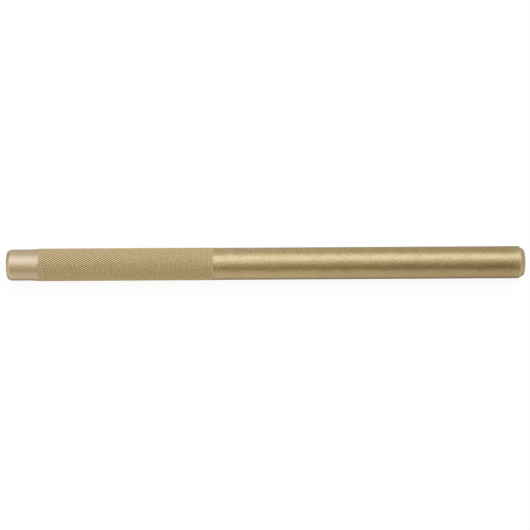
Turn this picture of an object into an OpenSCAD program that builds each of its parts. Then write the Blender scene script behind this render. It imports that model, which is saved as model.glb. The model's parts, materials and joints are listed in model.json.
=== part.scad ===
// Brass drift punch: one solid turned bar with a diamond-knurled grip.
// It lies along X on the plane z = 0, with the striking head towards -X and the working tip towards +X.

/* [Bar] */
// Length of the whole punch, from face to face
overall_length = 304.8; // [240:0.1:400]
// Diameter of the drawn bar, which the plain shank keeps
bar_diameter = 19.05; // [16:0.05:22]

/* [Striking head] */
// Diameter that the head is turned to
head_diameter = 18.4; // [14:0.1:20]
// Length from the striking face to the start of the knurl
head_length = 19.4; // [14:0.1:40]
// Length over which the head sweeps up to the bar's diameter
head_sweep_length = 8.2; // [3:0.1:10]
// Length along the axis of the chamfer round the striking face
head_chamfer_length = 2; // [0.8:0.1:3]
// Depth of the chamfer round the striking face
head_chamfer_depth = 0.95; // [0.8:0.05:3]

/* [Knurled grip] */
// Length of the knurl along the bar
knurl_length = 101.6; // [60:0.1:120]
// Spacing of the diamonds round the bar
knurl_pitch = 1.68; // [1.6:0.01:4]
// Angle of the grooves from the bar's axis
knurl_angle = 30; // [20:1:35]
// Height of the crests above the bar's own surface
knurl_raise = 0.12; // [0.05:0.01:0.2]
// Depth of the grooves below the crests
knurl_depth = 0.4; // [0.3:0.01:0.7]

/* [Working tip] */
// Length along the axis of the chamfer round the working face
tip_chamfer_length = 2.9; // [0.8:0.1:6]
// Depth of the chamfer round the working face
tip_chamfer_depth = 1.85; // [0.8:0.05:4]

/* [Edges] */
// Radius that breaks the edge round each flat face
edge_radius = 0.4; // [0.1:0.05:1]
// Radius that rounds the edge between each chamfer and the side
rim_radius = 1; // [0.2:0.1:2]

/* [Hidden] */

brass_colour = "#B8A274";
// Steps in each rounded edge, and in the sweep behind the head
edge_steps = 4;
sweep_steps = 10;
// Sides of the full turn that the plain lengths are revolved with
revolve_sides = 180;

bar_radius = bar_diameter / 2;
head_radius = head_diameter / 2;
crest_radius = bar_radius + knurl_raise;
root_radius = crest_radius - knurl_depth;
knurl_start = head_length;
knurl_end = knurl_start + knurl_length;

// The diamonds repeat this often round the bar, and each is two columns wide and two rows long
diamonds_round = round(2 * PI * crest_radius / knurl_pitch);
knurl_columns = 2 * diamonds_round;
diamond_width = 2 * PI * crest_radius / diamonds_round;
diamond_length = diamond_width / tan(knurl_angle);
knurl_rows = 2 * round(knurl_length / diamond_length);

function unit(v) = v / norm(v);

function turned(v, angle) = [
    v.x * cos(angle) - v.y * sin(angle),
    v.x * sin(angle) + v.y * cos(angle)
];

// Arc that rounds one corner of an outline, kept within half of each side that it meets
function rounded_corner(before, corner, after, full_radius) =
    let (
        to_before = unit(before - corner),
        to_after = unit(after - corner),
        half_opening = acos(to_before * to_after) / 2,
        shorter_side = min(norm(before - corner), norm(after - corner)),
        reach = min(full_radius / tan(half_opening), shorter_side / 2),
        radius = reach * tan(half_opening),
        centre = corner + unit(to_before + to_after) * radius / sin(half_opening),
        spoke = corner + to_before * reach - centre,
        sweep = sign(cross(to_after, to_before)) * (180 - 2 * half_opening)
    )
    [for (step = [0:edge_steps]) centre + turned(spoke, sweep * step / edge_steps)];

// Half outline of the head, as [radius, distance along the bar]
function head_outline() =
    let (
        centre = [0, 0],
        face_rim = [head_radius - head_chamfer_depth, 0],
        side_rim = [head_radius, head_chamfer_length],
        sweep_start = [head_radius, head_length - head_sweep_length]
    )
    concat(
        [centre],
        rounded_corner(centre, face_rim, side_rim, edge_radius),
        rounded_corner(face_rim, side_rim, sweep_start, rim_radius),
        [for (step = [0:sweep_steps]) let (share = step / sweep_steps) [
            head_radius + (bar_radius - head_radius) * share * share,
            sweep_start.y + head_sweep_length * share
        ]],
        [[0, head_length]]
    );

// Half outline of the plain shank and the tip, as [radius, distance along the bar]
function shank_outline() =
    let (
        shank_start = [bar_radius, knurl_end],
        side_rim = [bar_radius, overall_length - tip_chamfer_length],
        face_rim = [bar_radius - tip_chamfer_depth, overall_length],
        centre = [0, overall_length]
    )
    concat(
        [[0, knurl_end], shank_start],
        rounded_corner(shank_start, side_rim, face_rim, rim_radius),
        rounded_corner(side_rim, face_rim, centre, edge_radius),
        [centre]
    );

// Crests and groove crossings take turns along each row and each column, and both end rows lie at the root
function knurl_radius(column, row) =
    row > 0 && row < knurl_rows && (column + row) % 2 == 0 ? crest_radius : root_radius;

function knurl_point(column, row) =
    let (
        radius = knurl_radius(column, row),
        angle = 360 * column / knurl_columns
    )
    [radius * cos(angle), radius * sin(angle), knurl_start + knurl_length * row / knurl_rows];

function knurl_index(column, row) = row * knurl_columns + column % knurl_columns;

// Each cell between two columns and two rows is split along the groove that runs through it
function knurl_cell(column, row) =
    let (
        low = knurl_index(column, row),
        low_next = knurl_index(column + 1, row),
        high = knurl_index(column, row + 1),
        high_next = knurl_index(column + 1, row + 1)
    )
    (column + row) % 2 == 0
        ? [[low, high, low_next], [high, high_next, low_next]]
        : [[low, high, high_next], [low, high_next, low_next]];

module knurl() {
    points = [
        for (row = [0:knurl_rows])
            for (column = [0:knurl_columns - 1])
                knurl_point(column, row)
    ];
    sides = [
        for (row = [0:knurl_rows - 1])
            for (column = [0:knurl_columns - 1])
                each knurl_cell(column, row)
    ];
    start_cap = [for (column = [0:knurl_columns - 1]) knurl_index(column, 0)];
    end_cap = [for (column = [knurl_columns - 1:-1:0]) knurl_index(column, knurl_rows)];
    polyhedron(points = points, faces = concat(sides, [start_cap, end_cap]));
}

module revolved(outline) {
    rotate_extrude($fn = revolve_sides)
        polygon(outline);
}

module punch_bar() {
    color(brass_colour)
        translate([-overall_length / 2, 0, crest_radius])
            rotate([0, 90, 0])
                union() {
                    revolved(head_outline());
                    knurl();
                    revolved(shank_outline());
                }
}

punch_bar();
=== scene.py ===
import json
import math
import random

import bpy
from mathutils import Matrix, Vector


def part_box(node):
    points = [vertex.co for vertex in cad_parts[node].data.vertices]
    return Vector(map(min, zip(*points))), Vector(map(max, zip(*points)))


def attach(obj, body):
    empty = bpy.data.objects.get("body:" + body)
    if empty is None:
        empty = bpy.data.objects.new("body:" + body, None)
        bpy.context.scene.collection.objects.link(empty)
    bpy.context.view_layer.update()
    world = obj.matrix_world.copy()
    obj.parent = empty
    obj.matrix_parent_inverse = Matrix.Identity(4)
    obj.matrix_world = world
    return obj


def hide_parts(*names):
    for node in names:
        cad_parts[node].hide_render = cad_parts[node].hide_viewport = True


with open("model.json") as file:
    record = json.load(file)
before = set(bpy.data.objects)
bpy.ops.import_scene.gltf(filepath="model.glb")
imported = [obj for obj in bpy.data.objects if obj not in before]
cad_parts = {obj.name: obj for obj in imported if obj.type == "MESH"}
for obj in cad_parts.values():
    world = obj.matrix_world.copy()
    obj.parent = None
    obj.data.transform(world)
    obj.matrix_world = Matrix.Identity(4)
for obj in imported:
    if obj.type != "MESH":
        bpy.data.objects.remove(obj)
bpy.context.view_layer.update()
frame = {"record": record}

mm = 0.001
barNode = "punch_bar"
lowCorner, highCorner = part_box(barNode)
shankMount = next(mount for mount in frame["record"]["mounts"] if mount["name"] == "shank")

headEnd, tipEnd = lowCorner.x, highCorner.x  # the two flat faces
halfLength = (tipEnd - headEnd) / 2
barCentre = (lowCorner + highCorner) / 2
crestRadius = (highCorner.z - lowCorner.z) / 2
barRadius = shankMount["dims"]["r_mm"] * mm
knurlEnd = shankMount["pos_m"][0] - shankMount["dims"]["length_mm"] * mm / 2
print("frame loaded, bar length", round(tipEnd - headEnd, 4))


class Wire:  # a shader socket that can stand in a sum
    def __init__(self, tree, socket):
        self.tree = tree
        self.socket = socket

    def maths(self, operation, *values):
        return self.tree.node("ShaderNodeMath", {"operation": operation}, dict(enumerate(values)))

    def __add__(self, other):
        return self.maths("ADD", self, other)

    def __radd__(self, other):
        return self.maths("ADD", other, self)

    def __sub__(self, other):
        return self.maths("SUBTRACT", self, other)

    def __rsub__(self, other):
        return self.maths("SUBTRACT", other, self)

    def __mul__(self, other):
        return self.maths("MULTIPLY", self, other)

    def __rmul__(self, other):
        return self.maths("MULTIPLY", other, self)

    def __truediv__(self, other):
        return self.maths("DIVIDE", self, other)

    def __rtruediv__(self, other):
        return self.maths("DIVIDE", other, self)

    def __pow__(self, other):
        return self.maths("POWER", self, other)

    def __rpow__(self, other):
        return self.maths("POWER", other, self)

    def atLeast(self, other):
        return self.maths("MAXIMUM", self, other)

    def atMost(self, other):
        return self.maths("MINIMUM", self, other)

    def above(self, other):  # 1 where it is, 0 where it isn't
        return self.maths("GREATER_THAN", self, other)

    def absolute(self):
        return self.maths("ABSOLUTE", self)


class ShaderTree:  # the nodes of one material or of the world
    def __init__(self, owner):
        owner.use_nodes = True
        self.tree = owner.node_tree
        self.tree.nodes.clear()

    def node(self, kind, settings=None, sockets=None, output=0):
        made = self.tree.nodes.new(kind)
        for name, value in (settings or {}).items():
            if name == "stops":
                self.setStops(made.color_ramp.elements, value)
            else:
                setattr(made, name, value)
        for name, value in (sockets or {}).items():
            if isinstance(value, Wire):
                self.tree.links.new(value.socket, made.inputs[name])
            else:
                made.inputs[name].default_value = value
        return Wire(self, made.outputs[output]) if made.outputs else None

    def setStops(self, elements, stops):
        while len(elements) < len(stops):
            elements.new(1.0)
        for element, (position, colour) in zip(elements, stops):
            element.position = position
            element.color = (*colour, 1.0)

    def place(self):
        return self.node("ShaderNodeTexCoord", output="Object")

    def parts(self, vector):
        split = self.node("ShaderNodeSeparateXYZ", sockets={0: vector}).socket.node
        return [Wire(self, socket) for socket in split.outputs]

    def stretched(self, vector, amounts):
        return self.node("ShaderNodeVectorMath", {"operation": "MULTIPLY"}, {0: vector, 1: amounts})

    def noise(self, vector, size, detail=2.0):  # size is about one speck, in metres
        sockets = {"Vector": vector, "Scale": 1 / size, "Detail": detail}
        return self.node("ShaderNodeTexNoise", sockets=sockets)

    def mixed(self, amount, first, second):
        first, second = [c if isinstance(c, Wire) else (*c, 1.0) for c in (first, second)]
        sockets = {0: amount, 6: first, 7: second}  # the node's sockets for colours
        return self.node("ShaderNodeMix", {"data_type": "RGBA"}, sockets, output=2)


def addToScene(name, data):
    added = bpy.data.objects.new(name, data)
    bpy.context.scene.collection.objects.link(added)
    return added


# Mesh of the bar: rings of equal columns along its plain lengths, and a lattice of diamonds between them
bar = {
    "headDiameter": 18.4 * mm,
    "headLength": 19.4 * mm,  # face to knurl
    "sweepLength": 8.2 * mm,  # where the head rises to the bar
    "sweepSteps": 12,
    "headChamfer": (2.0 * mm, 0.95 * mm),  # along the axis, and in depth
    "tipChamfer": (2.9 * mm, 1.85 * mm),
    "edgeRadius": 0.4 * mm,  # round each flat face
    "rimRadius": 1.0 * mm,  # between each chamfer and the side
    "edgeSteps": 6,
    "edgeSupport": 0.3 * mm,  # extra ring beside each broken edge, so that flats shade flat
    "faceRings": 5,
    "shankRings": 24,
    "shankMargin": 1.2 * mm,  # from the last of them to the tip's rim
}
knurl = {
    "pitch": 1.21 * mm,  # round the bar
    "angle": math.radians(30),  # of the grooves from the axis
    "depth": 0.23 * mm,
    "flanks": (  # up each diamond: share of its width, and of the depth below its crest
        (0.85, 0.48),
        (0.68, 0.13),
        (0.48, 0.0),
    ),
    "unevenShare": 0.10,  # how far crests differ in height
    "seed": 11,
}

diamondsRound = round(2 * math.pi * crestRadius / knurl["pitch"])
columns = 2 * diamondsRound
diamondLength = 2 * math.pi * crestRadius / diamondsRound / math.tan(knurl["angle"])
knurlStart = headEnd + bar["headLength"]
knurlRows = 2 * round((knurlEnd - knurlStart) / diamondLength)
rowGap = (knurlEnd - knurlStart) / knurlRows
rootRadius = crestRadius - knurl["depth"]
headRadius = bar["headDiameter"] / 2
headFaceRadius = headRadius - bar["headChamfer"][1]
tipFaceRadius = barRadius - bar["tipChamfer"][1]
headRim = headEnd + bar["headChamfer"][0]
tipRim = tipEnd - bar["tipChamfer"][0]

turnedFinish, knurledFinish, drawnFinish, facedFinish = range(4)
points, turns, faces, faceFinishes, faceSmooth = [], [], [], [], []


def addPoint(x, radius, turn):
    angle = 2 * math.pi * turn
    points.append((x, radius * math.cos(angle), barCentre.z + radius * math.sin(angle)))
    turns.append(turn)
    return len(points) - 1


def addFace(corners, finish, smooth=True):
    faces.append(corners)
    faceFinishes.append(finish)
    faceSmooth.append(smooth)


def addRing(x, radius):
    return [addPoint(x, radius, column / columns) for column in range(columns)]


def bridge(first, second, finish):
    for column in range(columns):
        after = (column + 1) % columns
        addFace((first[column], first[after], second[after], second[column]), finish)


def roundedCorner(before, corner, after, radius):  # arc over an edge, with a support point on each side
    before, corner, after = Vector(before), Vector(corner), Vector(after)
    toBefore, toAfter = (before - corner).normalized(), (after - corner).normalized()
    half = toBefore.angle(toAfter) / 2
    reach = radius / math.tan(half)
    centre = corner + (toBefore + toAfter).normalized() * radius / math.sin(half)
    first, last = corner + toBefore * reach - centre, corner + toAfter * reach - centre
    shares = [step / bar["edgeSteps"] for step in range(bar["edgeSteps"] + 1)]
    arc = [centre + first.lerp(last, share).normalized() * radius for share in shares]
    support = bar["edgeSupport"]
    return [arc[0] + toBefore * support, *arc, arc[-1] + toAfter * support]


def headRings():
    faceEdge, sideEdge = (headEnd, headFaceRadius), (headRim, headRadius)
    sweepStart = knurlStart - bar["sweepLength"]
    outline = roundedCorner((headEnd, 0), faceEdge, sideEdge, bar["edgeRadius"])
    outline += roundedCorner(faceEdge, sideEdge, (sweepStart, headRadius), bar["rimRadius"])
    runOut = knurlStart - rowGap
    for step in range(bar["sweepSteps"] + 1):
        share = step / bar["sweepSteps"]
        radius = headRadius + (barRadius - headRadius) * share ** 2
        outline.append((sweepStart + (runOut - sweepStart) * share, radius))
    return outline


def shankRings():
    sideEdge, faceEdge = (tipRim, barRadius), (tipEnd, tipFaceRadius)
    runOut = knurlEnd + rowGap
    gap = (tipRim - bar["shankMargin"] - runOut) / bar["shankRings"]
    outline = [(runOut + gap * ring, barRadius) for ring in range(bar["shankRings"] + 1)]
    outline += roundedCorner((runOut, barRadius), sideEdge, faceEdge, bar["rimRadius"])
    outline += roundedCorner(sideEdge, faceEdge, (tipEnd, 0), bar["edgeRadius"])
    return outline


def turnedLength(outline, finishAt):  # plain rings along an outline
    rings = [addRing(x, radius) for x, radius in outline]
    for (x, radius), first, second in zip(outline[1:], rings, rings[1:]):
        bridge(first, second, finishAt(x))
    return rings[0], rings[-1]


def headFinish(x):
    return turnedFinish


def shankFinish(x):  # the chamfer is turned, the rest is as drawn
    return turnedFinish if x > tipRim else drawnFinish


def flatFace(x, rim, outward):
    rimRadius = math.dist(points[rim[0]], (x, 0, barCentre.z))
    shares = [ring / bar["faceRings"] for ring in range(1, bar["faceRings"])]
    rings = [addRing(x, rimRadius * share) for share in shares] + [rim]
    middle = addPoint(x, 0, 0)
    for column in range(columns):
        pair = rings[0][column], rings[0][(column + 1) % columns]
        addFace((middle, *(pair if outward > 0 else pair[::-1])), facedFinish)
    for inner, outer in zip(rings, rings[1:]):
        if outward > 0:
            bridge(outer, inner, facedFinish)
        else:
            bridge(inner, outer, facedFinish)


def knurlLattice(startRing, endRing):  # diamonds between two crossing sets of grooves
    draw = random.Random(knurl["seed"])
    lastRow = knurlRows + 2  # one more row at each end, where the grooves run out
    crossings = {(column, 0): point for column, point in enumerate(startRing)}
    crossings.update({(column, lastRow): point for column, point in enumerate(endRing)})
    rowX = [knurlStart + (row - 1) * rowGap for row in range(lastRow + 1)]
    for row in range(1, lastRow):
        for column in range(1 - row % 2, columns, 2):
            crossings[column, row] = addPoint(rowX[row], rootRadius, column / columns)

    corners = ((0, -1), (1, 0), (0, 1), (-1, 0))  # columns and rows from a diamond's middle
    for row in range(1, lastRow):
        for column in range(row % 2, columns, 2):
            rim = [crossings[(column + aside) % columns, row + along] for aside, along in corners]
            crest = crestRadius - knurl["depth"] * knurl["unevenShare"] * draw.random()
            for share, drop in knurl["flanks"]:
                radius = crest - knurl["depth"] * drop
                ring = [
                    addPoint(rowX[row] + along * share * rowGap, radius, (column + aside * share) / columns)
                    for aside, along in corners
                ]
                for side in range(4):
                    after = (side + 1) % 4
                    addFace((rim[side], rim[after], ring[after], ring[side]), knurledFinish, False)
                rim = ring
            addFace(tuple(rim), knurledFinish, False)
    for column in range(0, columns, 2):
        before, after = (column - 1) % columns, column + 1
        deep = crossings[column, 1]
        addFace((startRing[before], startRing[column], deep), turnedFinish, False)
        addFace((startRing[column], startRing[after], deep), turnedFinish, False)
        deep = crossings[column, lastRow - 1]
        addFace((deep, endRing[column], endRing[before]), drawnFinish, False)
        addFace((deep, endRing[after], endRing[column]), drawnFinish, False)


# Flat layout for baked maps, as shares of the map: the side in two strips, with the two faces above
layout = {
    "stripLength": 0.92,
    "margin": 0.035,
    "headFaceAt": (0.25, 0.9),
    "tipFaceAt": (0.75, 0.9),
}


def layFlat(mesh):
    layer = mesh.uv_layers.new(name="OFBake")
    scale, margin = layout["stripLength"] / halfLength, layout["margin"]
    stripHeight = 2 * math.pi * crestRadius * scale
    for face in mesh.polygons:
        firstTurn = turns[face.vertices[0]]
        atTip = face.center.x > barCentre.x
        faceU, faceV = layout["tipFaceAt"] if atTip else layout["headFaceAt"]
        stripStart = barCentre.x if atTip else headEnd
        stripFoot = 2 * margin + stripHeight if atTip else margin
        for loop in face.loop_indices:
            index = mesh.loops[loop].vertex_index
            x, y, z = points[index]
            if faceFinishes[face.index] == facedFinish:
                u = faceU + y * scale
                v = faceV + (z - barCentre.z) * scale
            else:
                turn = turns[index] + round(firstTurn - turns[index])  # keeps a face whole at the seam
                u = margin + (x - stripStart) * scale
                v = stripFoot + turn * stripHeight
            layer.data[loop].uv = (u, v)


def makeBar():
    finishes = [turnedBrass(), knurledBrass(), drawnBrass(), facedBrass()]
    headStart, headStop = turnedLength(headRings(), headFinish)
    shankStart, shankStop = turnedLength(shankRings(), shankFinish)
    knurlLattice(headStop, shankStart)
    flatFace(headEnd, headStart, -1)
    flatFace(tipEnd, shankStop, 1)
    mesh = bpy.data.meshes.new("punchBar")
    mesh.from_pydata(points, [], faces)
    for finish in finishes:
        mesh.materials.append(finish)
    mesh.polygons.foreach_set("material_index", faceFinishes)
    mesh.polygons.foreach_set("use_smooth", faceSmooth)
    layFlat(mesh)
    mesh.update()
    piece = addToScene("punchBar", mesh)
    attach(piece, "root")
    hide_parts(barNode)
    print("bar made:", diamondsRound, "diamonds round,", len(faces), "faces")


# Finishes of the brass, all in linear colour
noiseMean = 0.5  # what the noise varies about


def startBrass(name):
    material = bpy.data.materials.new(name)
    return material, ShaderTree(material)


def endBrass(tree, finish, colour, roughness, height):
    bump = {"Strength": 1.0, "Distance": finish["relief"], "Height": height}
    normal = tree.node("ShaderNodeBump", sockets=bump)
    surface = tree.node("ShaderNodeBsdfPrincipled", sockets={
        "Base Color": colour,
        "Metallic": 1.0,
        "Roughness": roughness,
        "Specular Tint": (*finish["edgeTint"], 1.0),
        "Normal": normal,
    })
    tree.node("ShaderNodeOutputMaterial", sockets={"Surface": surface})


def unevenRoughness(finish, grain):
    return finish["roughness"] + (grain - noiseMean) * finish["roughnessSpread"]


def axisDistance(tree, place):
    x, y, z = tree.parts(place)
    return (y ** 2.0 + (z - barCentre.z) ** 2.0) ** 0.5


rims = {  # edges between the chamfers and the side, which get a painted highlight
    "colour": (0.68, 0.55, 0.35),  # painted highlight, standing in for the light that the rounded edges catch
    "width": 0.6 * mm,
    "strength": 0.35,
    "reach": 5.5 * mm,  # of a fainter painted lightening along the side
    "fade": 0.12,
    "scuff": 0.14,  # how much rougher the shank is there
}


def paintedRimHighlight(tree, place):  # how much painted highlight the metal gets, and how near to a rim it is
    x = tree.parts(place)[0]
    inward = (x - headRim).atMost(tipRim - x)
    sharp = (1 - inward.absolute() / rims["width"]).atLeast(0)
    near = (1 - inward / rims["reach"]).atLeast(0) * inward.above(0)
    return sharp * rims["strength"] + near * rims["fade"], near


drawn = {
    "pale": (0.49, 0.374, 0.195),
    "deep": (0.37, 0.282, 0.143),
    "tipPale": (0.382, 0.286, 0.139),  # browner and darker towards the tip, as painted shade for the dimmer light at that end
    "tipDeep": (0.288, 0.215, 0.105),
    "mottle": 2.0,  # how far the pebbles differ in colour
    "roughness": 0.285,
    "roughnessSpread": 0.08,
    "pebble": 1.0 * mm,
    "grain": 0.45 * mm,
    "pebbleStretch": (1.25, 0.75, 0.75),  # longer round the bar than along it, and so is the grain
    "cloud": 6 * mm,
    "cloudDetail": 3.0,
    "drawLines": 0.35 * mm,
    "lineStretch": (0.02, 1, 1),  # along the bar
    "relief": 0.25 * mm,
    "pebbleShare": 0.6,  # of the relief, and so are the next two
    "grainShare": 0.3,
    "lineShare": 0.1,
    "edgeTint": (0.64, 0.63, 0.66),  # of what it mirrors at grazing angles
}


def drawnBrass():
    material, tree = startBrass("drawnBrass")
    place = tree.place()
    skin = tree.stretched(place, drawn["pebbleStretch"])
    pebble = tree.noise(skin, drawn["pebble"])
    grain = tree.noise(skin, drawn["grain"])
    cloud = tree.noise(place, drawn["cloud"], drawn["cloudDetail"])
    lines = tree.noise(tree.stretched(place, drawn["lineStretch"]), drawn["drawLines"])
    mottle = cloud + (pebble - noiseMean) * drawn["mottle"]
    atKnurl = tree.mixed(mottle, drawn["deep"], drawn["pale"])
    # painted shade: darker and browner towards the tip, where the light is dimmer
    atTip = tree.mixed(mottle, drawn["tipDeep"], drawn["tipPale"])
    alongShank = (tree.parts(place)[0] - knurlEnd) / (tipEnd - knurlEnd)
    # painted highlight at the rims, and a fainter painted lightening of the side near them
    paleShare, near = paintedRimHighlight(tree, place)
    colour = tree.mixed(paleShare, tree.mixed(alongShank, atKnurl, atTip), rims["colour"])
    roughness = unevenRoughness(drawn, grain + pebble - noiseMean) + near * rims["scuff"]
    height = pebble * drawn["pebbleShare"] + grain * drawn["grainShare"] + lines * drawn["lineShare"]
    endBrass(tree, drawn, colour, roughness, height)
    return material


turned = {
    "pale": (0.535, 0.42, 0.268),
    "deep": (0.455, 0.358, 0.226),
    # the turned tip gets the same painted shade as the drawn side there
    "atTip": (0.45, 0.342, 0.18),
    "mottle": 1.5,  # how far the grain differs in colour
    "roughness": 0.40,
    "roughnessSpread": 0.08,
    "toolLines": 0.8 * mm,
    "lineStretch": (1, 0.03, 0.03),  # round the bar
    "grain": 1.3 * mm,
    "relief": 0.2 * mm,
    "lineShare": 0.5,  # of the relief, where the grain is the rest
    "edgeTint": (0.64, 0.63, 0.66),
}


def turnedColour(tree, place, blotch):
    colour = tree.mixed(blotch, turned["deep"], turned["pale"])
    return tree.mixed(tree.parts(place)[0] / tipEnd, colour, turned["atTip"])


def turnedBrass():
    material, tree = startBrass("turnedBrass")
    place = tree.place()
    lines = tree.noise(tree.stretched(place, turned["lineStretch"]), turned["toolLines"])
    grain = tree.noise(place, turned["grain"])
    blotch = lines + (grain - noiseMean) * turned["mottle"]
    # painted highlight at the rims
    paleShare = paintedRimHighlight(tree, place)[0]
    colour = tree.mixed(paleShare, turnedColour(tree, place, blotch), rims["colour"])
    height = lines * turned["lineShare"] + grain * (1 - turned["lineShare"])
    endBrass(tree, turned, colour, unevenRoughness(turned, grain), height)
    return material


faced = {  # the end faces, turned like the head but with rings
    "blotchShare": 0.5,  # of the rings in the colour, where the grain is the rest
    "lineShare": 0.7,  # the same in the relief
}


def facedBrass():
    material, tree = startBrass("facedBrass")
    place = tree.place()
    rings = tree.node("ShaderNodeCombineXYZ", sockets={0: axisDistance(tree, place)})
    lines = tree.noise(rings, turned["toolLines"])
    grain = tree.noise(place, turned["grain"])
    blotch = lines * faced["blotchShare"] + grain * (1 - faced["blotchShare"])
    height = lines * faced["lineShare"] + grain * (1 - faced["lineShare"])
    endBrass(tree, turned, turnedColour(tree, place, blotch), unevenRoughness(turned, grain), height)
    return material


knurled = {
    "crest": (0.685, 0.535, 0.291),
    # the grooves are darker partly from tarnish and partly as painted shade in the hollows; the pale crests
    # are wear
    "groove": (0.38, 0.287, 0.149),
    "grooveTop": 0.42,  # heights between which the colour changes, as shares of the depth
    "crestFoot": 0.94,
    "mottle": 0.3,
    "roughness": 0.64,
    "roughnessSpread": 0.1,
    "grain": 0.3 * mm,
    "relief": 0.02 * mm,
    "edgeTint": (0.15, 0.15, 0.17),
}


def knurledBrass():
    material, tree = startBrass("knurledBrass")
    place = tree.place()
    height = (axisDistance(tree, place) - rootRadius) / knurl["depth"]
    # pale on the crests from wear, darker in the grooves from tarnish and painted shade
    paleShare = (height - knurled["grooveTop"]) / (knurled["crestFoot"] - knurled["grooveTop"])
    grain = tree.noise(place, knurled["grain"])
    paleShare = paleShare + (grain - noiseMean) * knurled["mottle"]
    colour = tree.mixed(paleShare, knurled["groove"], knurled["crest"])
    endBrass(tree, knurled, colour, unevenRoughness(knurled, grain), grain)
    return material


# Studio: white floor, a room lit softly from above, and a softbox high up beyond the tip
studio = {
    "floorSize": 12.0,
    "floorColour": (0.83, 0.80, 0.75),
    "floorGlow": 0.93,  # share of plain white where the camera sees the floor, which thins the shadow
    "mirroredGlow": 0.95,  # the same where the metal mirrors it
    "floorBands": (  # as the metal mirrors it, by the distance from the axis to the front: a painted shadow next to the bar, a painted pool of light beyond it, and dimmer far off
        (8 * mm, (0.62, 0.58, 0.52)),
        (13 * mm, (1.15, 1.15, 1.15)),
        (60 * mm, (0.93, 0.92, 0.90)),
    ),
    "floorBehind": (1.08, 1.08, 1.08),
    "roomBands": (  # light by the angle over the top, from the front (0 degrees) to the back (180)
        (0, (0.426, 0.415, 0.322)),
        (28, (0.482, 0.46, 0.373)),
        (42, (0.674, 0.663, 0.545)),
        (56, (0.984, 1.0, 0.93)),
        (87, (1.90, 2.06, 2.55)),
        (102, (1.84, 2.00, 2.45)),
        (133, (0.93, 0.94, 0.86)),
        (180, (0.98, 0.99, 1.05)),
    ),
    "bandTurn": 25,  # degrees by which the bands come forward towards the left
    "roomLeft": 3.3,  # in front, how fast it gets lighter to the left
    "leftReach": 0.2,  # how far to each side that goes on
    "rightReach": 0.02,
    # the walls fade in between two directions aside, and fall off towards the back
    "leftWall": {"start": 0.35, "full": 0.75, "colour": (0.76, 0.76, 0.74), "fall": 0.35},
    "rightWall": {"start": 0.68, "full": 0.90, "colour": (0.80, 0.80, 0.78), "fall": 0.7},
    "softboxSize": (0.75, 0.5),
    "softboxPlace": (0.545, 0.05, 0.8),
    "softboxColour": (0.92, 1.0, 1.24),
    "softboxPower": 0.88,
}


def floorPaper():
    material = bpy.data.materials.new("floorPaper")
    tree = ShaderTree(material)
    seen = tree.node("ShaderNodeLightPath", output="Is Camera Ray")
    mirrored = tree.node("ShaderNodeLightPath", output="Is Glossy Ray")
    mirrored = mirrored.atLeast(tree.node("ShaderNodeLightPath", output="Is Transmission Ray"))
    white = seen * studio["floorGlow"] + mirrored * studio["mirroredGlow"]
    paper = tree.node("ShaderNodeBsdfDiffuse", sockets={"Color": (*studio["floorColour"], 1.0)})
    y = tree.parts(tree.place())[1]
    reach = studio["floorBands"][-1][0]
    bands = [(distance / reach, colour) for distance, colour in studio["floorBands"]]
    # painted shadow and pool of light in the floor, as the metal mirrors it
    inFront = tree.node("ShaderNodeValToRGB", {"stops": bands}, {0: (0 - y) / reach})
    inMetal = tree.mixed(y.above(crestRadius), inFront, studio["floorBehind"])
    shade = tree.mixed(mirrored, (1.0, 1.0, 1.0), inMetal)
    glow = tree.node("ShaderNodeEmission", sockets={"Color": shade, "Strength": 1.0})
    surface = tree.node("ShaderNodeMixShader", sockets={0: white, 1: paper, 2: glow})
    tree.node("ShaderNodeOutputMaterial", sockets={"Surface": surface})
    return material


def makeFloor():
    half = studio["floorSize"] / 2
    corners = [(-half, -half, 0), (half, -half, 0), (half, half, 0), (-half, half, 0)]
    mesh = bpy.data.meshes.new("floor")
    mesh.from_pydata(corners, [], [(0, 1, 2, 3)])
    mesh.materials.append(floorPaper())
    addToScene("floor", mesh)
    print("floor laid")


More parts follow.
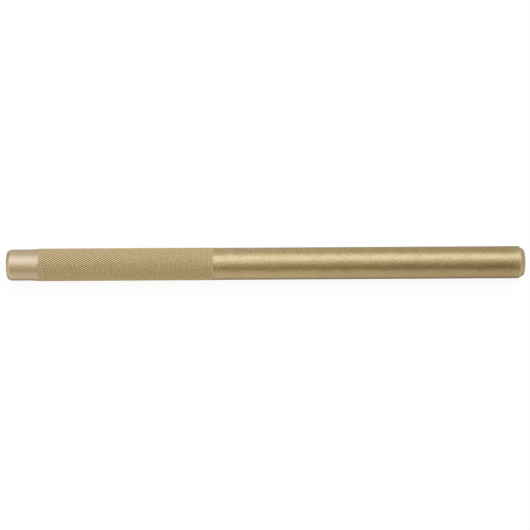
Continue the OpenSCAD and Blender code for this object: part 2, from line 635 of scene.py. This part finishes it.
def makeRoom():
    world = bpy.data.worlds.new("room")
    bpy.context.scene.world = world
    tree = ShaderTree(world)
    x, y, z = tree.parts(tree.node("ShaderNodeTexCoord", output="Generated"))
    toLeft = x.atLeast(-studio["leftReach"])
    turn = toLeft.atMost(0) * (studio["bandTurn"] / 180)
    angle = z.maths("ARCTAN2", z, 0 - y) / math.pi - turn
    bands = [(degrees / 180, colour) for degrees, colour in studio["roomBands"]]
    colour = tree.node("ShaderNodeValToRGB", {"stops": bands}, {0: angle})
    inFront = (0 - y).atLeast(0)
    level = 1 - toLeft.atMost(studio["rightReach"]) * inFront * studio["roomLeft"]
    for aside, wall in ((0 - x, studio["leftWall"]), (x, studio["rightWall"])):
        share = (aside - wall["start"]) / (wall["full"] - wall["start"])
        share = share.atLeast(0).atMost(1)
        colour = tree.mixed(share, colour, wall["colour"])
        level = level - share * y * wall["fall"]
    sky = tree.node("ShaderNodeBackground", sockets={"Color": colour, "Strength": level})
    tree.node("ShaderNodeOutputWorld", sockets={"Surface": sky})
    print("room lit")


def makeSoftbox():
    light = bpy.data.lights.new("softbox", "AREA")
    light.shape = "RECTANGLE"
    light.size, light.size_y = studio["softboxSize"]
    light.color = studio["softboxColour"]
    light.energy = studio["softboxPower"]
    addToScene("softbox", light).location = studio["softboxPlace"]
    print("softbox hung")


# Camera, set by where the photograph shows the bar's ends and axis
shot = {
    "pictureSize": 530,  # pixels, and so are the next three
    "leftEnd": 5.64,
    "rightEnd": 525.5,
    "axisRow": 263.6,
    "rise": math.radians(0.336),  # the right end is a little higher
    "distance": 0.78,
    "elevation": math.radians(50),
}


def makeCamera():
    distance, half = shot["distance"], shot["pictureSize"] / 2
    leftReach = halfLength / (distance - headFaceRadius)  # each end's near rim is what shows outermost
    rightReach = halfLength / (distance - tipFaceRadius)
    focal = (shot["rightEnd"] - shot["leftEnd"]) / (leftReach + rightReach)  # pixels
    middle = shot["leftEnd"] + focal * leftReach
    right = Vector((1, 0, 0))
    up = Vector((0, math.sin(shot["elevation"]), math.cos(shot["elevation"])))
    back = Vector((0, -math.cos(shot["elevation"]), math.sin(shot["elevation"])))
    aim = barCentre + (right * (half - middle) + up * (shot["axisRow"] - half)) * distance / focal
    data = bpy.data.cameras.new("camera")
    data.lens = focal * data.sensor_width / shot["pictureSize"]
    turn = Matrix((right, up, back)).transposed().to_4x4()
    tilt = Matrix.Rotation(-shot["rise"], 4, "Z")
    camera = addToScene("camera", data)
    camera.matrix_world = Matrix.Translation(aim + back * distance) @ turn @ tilt
    bpy.context.scene.camera = camera
    print("camera placed, lens", round(data.lens, 1))


makeCamera()
makeBar()
makeFloor()
makeRoom()
makeSoftbox()
bpy.context.scene.view_settings.view_transform = "Standard"
